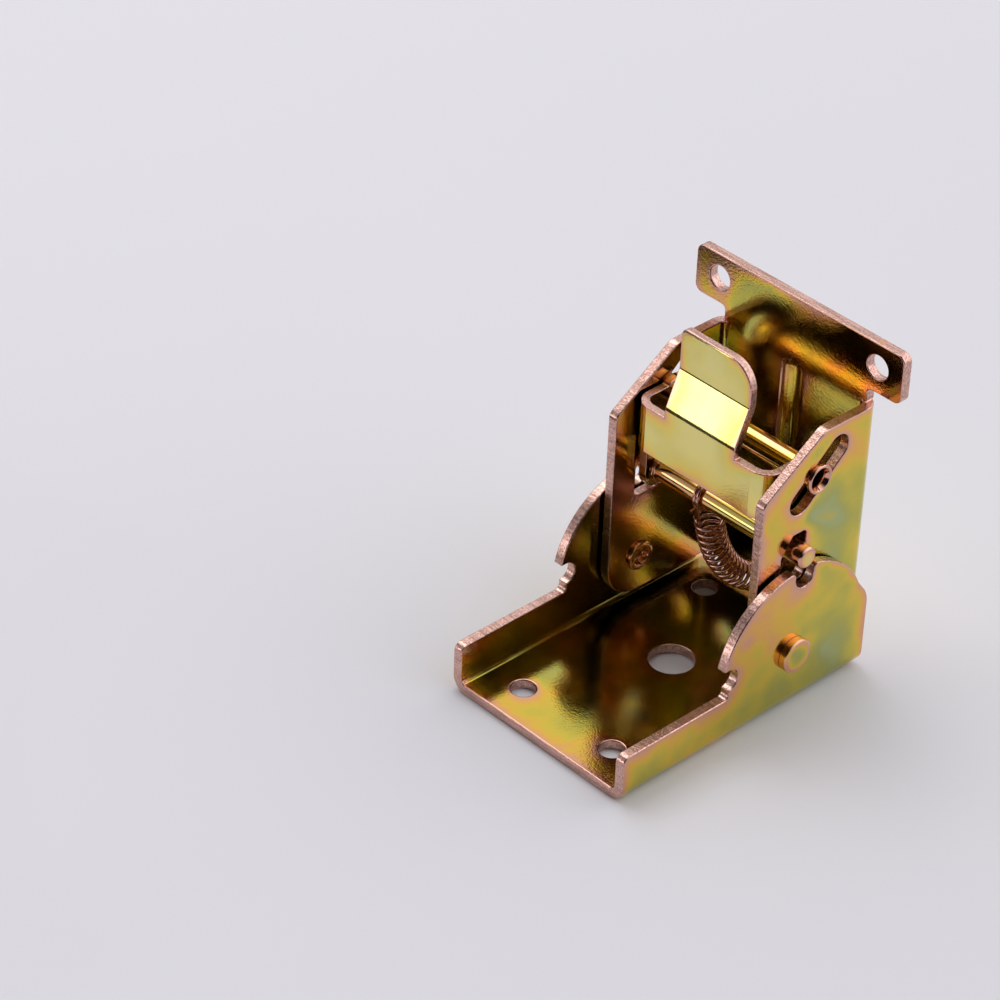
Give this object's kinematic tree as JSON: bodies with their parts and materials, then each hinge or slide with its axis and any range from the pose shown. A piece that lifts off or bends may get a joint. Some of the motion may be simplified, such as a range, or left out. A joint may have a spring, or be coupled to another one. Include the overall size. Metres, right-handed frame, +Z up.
{
  "type": "folding table leg bracket",
  "caption": "Folding table leg bracket: a channel base, a pivoting leg channel with screw tabs, and a spring latch with a thumb lever and cross pin.",
  "frame": {"origin": "middle of the base's front edge, on its underside", "axes": "+X across the bracket to the right, -Y towards the open front end of the base, +Z up from the table"},
  "size_m": [0.0438, 0.056, 0.06],
  "materials": {
    "zinc_sheet": "iridescent yellow zinc",
    "zinc_lever": "iridescent yellow zinc",
    "zinc_pin": "bright yellow zinc",
    "zinc_rivet": "iridescent yellow zinc",
    "zinc_wire": "bright zinc"
  },
  "bodies": {
    "base": {"base_bracket": "zinc_sheet", "pivot_rivet_left": "zinc_rivet", "pivot_rivet_right": "zinc_rivet"},
    "leg": {"leg_bracket": "zinc_sheet", "return_spring": "zinc_wire"},
    "pin": {"lock_pin": "zinc_pin"},
    "lever": {"release_lever": "zinc_lever", "guide_tube": "zinc_pin"}
  },
  "joints": [
    {"name": "leg_fold", "type": "hinge", "parent": "base", "child": "leg", "pos_m": [0, 0.0364, 0.01085], "axis": [1, 0, 0], "range_deg": [0, 90]},
    {"name": "latch", "type": "slide", "parent": "leg", "child": "pin", "axis": [0, 0, 1], "range_m": [-0.00343, 0.0013], "deforming": ["return_spring"]},
    {"name": "lever_tilt", "type": "hinge", "parent": "pin", "child": "lever", "pos_m": [0, 0.0379, 0.02841], "axis": [1, 0, 0], "range_deg": [-6, 15.5]}
  ],
  "couplings": [
    {"joint": "lever_tilt", "follows": "latch", "rad_per_m": -78}
  ]
}
